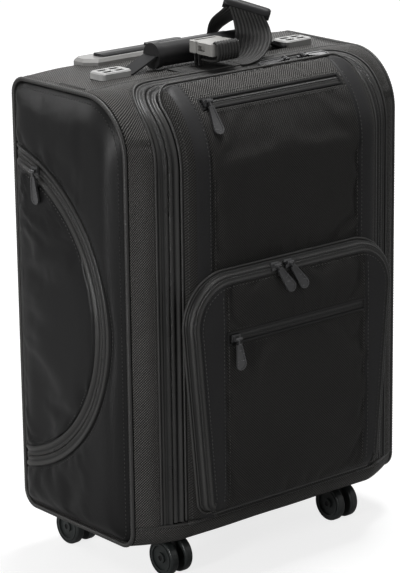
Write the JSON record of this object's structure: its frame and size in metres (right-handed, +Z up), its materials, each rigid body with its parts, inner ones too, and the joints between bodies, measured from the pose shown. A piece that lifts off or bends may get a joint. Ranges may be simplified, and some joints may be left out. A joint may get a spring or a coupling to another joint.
{
  "type": "rolling makeup case",
  "caption": "Soft-sided rolling case in black nylon with a zipped front lid, arched front pocket, side pockets, telescopic trolley handle, carry handle, strap with buckle and swivel casters.",
  "frame": {"origin": "middle of the bounding box, on the ground under the casters", "axes": "+Z up, -Y to the front with the lid, +X to the right of someone facing the front from behind it"},
  "size_m": [0.4272, 0.2578, 0.6208],
  "materials": {
    "ballistic_nylon": "matte woven ballistic nylon",
    "satin_nylon": "satin nylon cloth",
    "zip_tape": "woven tape with a coil zip",
    "webbing": "ribbed webbing",
    "piping": "satin cord piping",
    "gunmetal": "glossy black nickel",
    "tube_metal": "drawn tube",
    "steel": "plain steel",
    "grey_plastic": "glossy grey plastic",
    "black_plastic": "matte black plastic",
    "grip_rubber": "soft black grip",
    "wheel_rubber": "dark hard rubber"
  },
  "bodies": {
    "case": {"back_panel": "ballistic_nylon", "base_pan": "satin_nylon", "top_panel": "ballistic_nylon", "left_side_panel": "satin_nylon", "right_side_panel": "satin_nylon", "front_frame": "ballistic_nylon", "side_piping": "piping", "frame_wires": "steel", "body_zip_tape": "zip_tape", "side_zip_tapes": "zip_tape", "trolley_bezel": "grey_plastic", "outer_tubes": "tube_metal", "tube_tunnels": "black_plastic", "tube_feet": "black_plastic", "handle_anchors": "grey_plastic", "screws": "steel", "caster_plates": "black_plastic", "strap_webbing": "webbing", "strap_bar": "black_plastic", "buckle_plug": "grey_plastic"},
    "buckle": {"buckle_socket": "grey_plastic", "strap_end": "webbing"},
    "carry_handle": {"handle_core": "black_plastic", "handle_grip": "grip_rubber"},
    "trolley_mid": {"mid_tubes": "tube_metal"},
    "trolley_inner": {"inner_tubes": "tube_metal", "trolley_grip": "grip_rubber"},
    "release_button": {"grip_button": "black_plastic"},
    "left_lock": {"left_lock_pin": "steel"},
    "right_lock": {"right_lock_pin": "steel"},
    "front_lid": {"lid_panel": "ballistic_nylon", "lid_zip_tape": "zip_tape", "upper_zip_tape": "zip_tape", "pocket_gusset": "zip_tape", "lid_zip_sliders": "gunmetal"},
    "left_lid_tab": {"left_lid_pull": "gunmetal"},
    "right_lid_tab": {"right_lid_pull": "gunmetal"},
    "upper_zip": {"upper_slider": "gunmetal"},
    "upper_tab": {"upper_pull": "gunmetal"},
    "front_pocket": {"pocket_flap": "satin_nylon", "lower_zip_tape": "zip_tape", "pocket_sliders": "gunmetal"},
    "lower_zip": {"lower_slider": "gunmetal"},
    "lower_tab": {"lower_pull": "gunmetal"},
    "left_pocket_tab": {"left_pocket_pull": "gunmetal"},
    "right_pocket_tab": {"right_pocket_pull": "gunmetal"},
    "left_side_pocket": {"left_side_flap": "satin_nylon", "left_side_slider": "gunmetal"},
    "right_side_pocket": {"right_side_flap": "satin_nylon", "right_side_slider": "gunmetal"},
    "left_side_tab": {"left_side_pull": "gunmetal"},
    "right_side_tab": {"right_side_pull": "gunmetal"},
    "front_left_swivel": {"front_left_fork": "black_plastic"},
    "front_left_roller": {"front_left_wheels": "wheel_rubber"},
    "front_right_swivel": {"front_right_fork": "black_plastic"},
    "front_right_roller": {"front_right_wheels": "wheel_rubber"},
    "rear_left_swivel": {"rear_left_fork": "black_plastic"},
    "rear_left_roller": {"rear_left_wheels": "wheel_rubber"},
    "rear_right_swivel": {"rear_right_fork": "black_plastic"},
    "rear_right_roller": {"rear_right_wheels": "wheel_rubber"}
  },
  "joints": [
    {"name": "trolley_mid_slide", "type": "slide", "parent": "case", "child": "trolley_mid", "axis": [0, 0, 1], "range_m": [0, 0.2]},
    {"name": "trolley_inner_slide", "type": "slide", "parent": "trolley_mid", "child": "trolley_inner", "axis": [0, 0, 1], "range_m": [0, 0.22]},
    {"name": "button_press", "type": "slide", "parent": "trolley_inner", "child": "release_button", "axis": [0, 0, -1], "range_m": [0, 0.0035], "stiffness_N_per_m": 600, "springref_m": -0.002},
    {"name": "left_lock_slide", "type": "slide", "parent": "trolley_inner", "child": "left_lock", "axis": [1, 0, 0], "range_m": [0, 0.0035]},
    {"name": "right_lock_slide", "type": "slide", "parent": "trolley_inner", "child": "right_lock", "axis": [-1, 0, 0], "range_m": [0, 0.0035]},
    {"name": "carry_handle_lift", "type": "slide", "parent": "case", "child": "carry_handle", "axis": [0, 0, 1], "range_m": [0, 0.003]},
    {"name": "buckle_release", "type": "slide", "parent": "case", "child": "buckle", "axis": [0, -1, 0], "range_m": [0, 0.025]},
    {"name": "lid_hinge", "type": "hinge", "parent": "case", "child": "front_lid", "pos_m": [0, -0.09585, 0.0755], "axis": [1, 0, 0], "range_deg": [0, 92]},
    {"name": "left_lid_tab_hinge", "type": "hinge", "parent": "front_lid", "child": "left_lid_tab", "pos_m": [0.065, -0.03026, 0.55549], "axis": [0, 0.9756, 0.2195], "range_deg": [0, 100]},
    {"name": "right_lid_tab_hinge", "type": "hinge", "parent": "front_lid", "child": "right_lid_tab", "pos_m": [0.091, -0.03026, 0.55549], "axis": [0, -0.9756, -0.2195], "range_deg": [0, 100]},
    {"name": "upper_zip_slide", "type": "slide", "parent": "front_lid", "child": "upper_zip", "axis": [1, 0, 0], "range_m": [0, 0.18]},
    {"name": "upper_tab_hinge", "type": "hinge", "parent": "upper_zip", "child": "upper_tab", "pos_m": [-0.091, -0.08232, 0.53861], "axis": [-1, 0, 0], "range_deg": [0, 110]},
    {"name": "pocket_hinge", "type": "hinge", "parent": "front_lid", "child": "front_pocket", "pos_m": [0, -0.11005, 0.0857], "axis": [1, 0, 0], "range_deg": [0, 75]},
    {"name": "lower_zip_slide", "type": "slide", "parent": "front_pocket", "child": "lower_zip", "axis": [1, 0, 0], "range_m": [0, 0.18]},
    {"name": "lower_tab_hinge", "type": "hinge", "parent": "lower_zip", "child": "lower_tab", "pos_m": [-0.091, -0.12645, 0.284], "axis": [-1, 0, 0], "range_deg": [0, 110]},
    {"name": "left_pocket_tab_hinge", "type": "hinge", "parent": "front_pocket", "child": "left_pocket_tab", "pos_m": [-0.03, -0.12095, 0.35421], "axis": [-1, 0, 0], "range_deg": [0, 110]},
    {"name": "right_pocket_tab_hinge", "type": "hinge", "parent": "front_pocket", "child": "right_pocket_tab", "pos_m": [-0.011, -0.12095, 0.35421], "axis": [-1, 0, 0], "range_deg": [0, 110]},
    {"name": "left_side_pocket_hinge", "type": "hinge", "parent": "case", "child": "left_side_pocket", "pos_m": [-0.196, 0.11675, 0.29], "axis": [0, 0, -1], "range_deg": [0, 100]},
    {"name": "right_side_pocket_hinge", "type": "hinge", "parent": "case", "child": "right_side_pocket", "pos_m": [0.196, 0.11675, 0.29], "axis": [0, 0, 1], "range_deg": [0, 100]},
    {"name": "left_side_tab_hinge", "type": "hinge", "parent": "left_side_pocket", "child": "left_side_tab", "pos_m": [-0.2116, 0.07375, 0.45408], "axis": [0, 1, 0], "range_deg": [0, 100]},
    {"name": "right_side_tab_hinge", "type": "hinge", "parent": "right_side_pocket", "child": "right_side_tab", "pos_m": [0.2116, 0.07375, 0.45408], "axis": [0, -1, 0], "range_deg": [0, 100]},
    {"name": "front_left_swivel_turn", "type": "hinge", "parent": "case", "child": "front_left_swivel", "pos_m": [-0.126, -0.03325, 0.05], "axis": [0, 0, 1], "continuous": true},
    {"name": "front_left_wheel_spin", "type": "hinge", "parent": "front_left_swivel", "child": "front_left_roller", "pos_m": [-0.126, -0.04825, 0.021], "axis": [1, 0, 0], "continuous": true},
    {"name": "front_right_swivel_turn", "type": "hinge", "parent": "case", "child": "front_right_swivel", "pos_m": [0.126, -0.03325, 0.05], "axis": [0, 0, 1], "continuous": true},
    {"name": "front_right_wheel_spin", "type": "hinge", "parent": "front_right_swivel", "child": "front_right_roller", "pos_m": [0.126, -0.04825, 0.021], "axis": [1, 0, 0], "continuous": true},
    {"name": "rear_left_swivel_turn", "type": "hinge", "parent": "case", "child": "rear_left_swivel", "pos_m": [-0.146, 0.08275, 0.05], "axis": [0, 0, 1], "continuous": true},
    {"name": "rear_left_wheel_spin", "type": "hinge", "parent": "rear_left_swivel", "child": "rear_left_roller", "pos_m": [-0.146, 0.09775, 0.021], "axis": [1, 0, 0], "continuous": true},
    {"name": "rear_right_swivel_turn", "type": "hinge", "parent": "case", "child": "rear_right_swivel", "pos_m": [0.146, 0.08275, 0.05], "axis": [0, 0, 1], "continuous": true},
    {"name": "rear_right_wheel_spin", "type": "hinge", "parent": "rear_right_swivel", "child": "rear_right_roller", "pos_m": [0.146, 0.09775, 0.021], "axis": [1, 0, 0], "continuous": true}
  ],
  "couplings": [
    {"joint": "left_lock_slide", "follows": "button_press", "ratio": 1},
    {"joint": "right_lock_slide", "follows": "button_press", "ratio": 1}
  ]
}
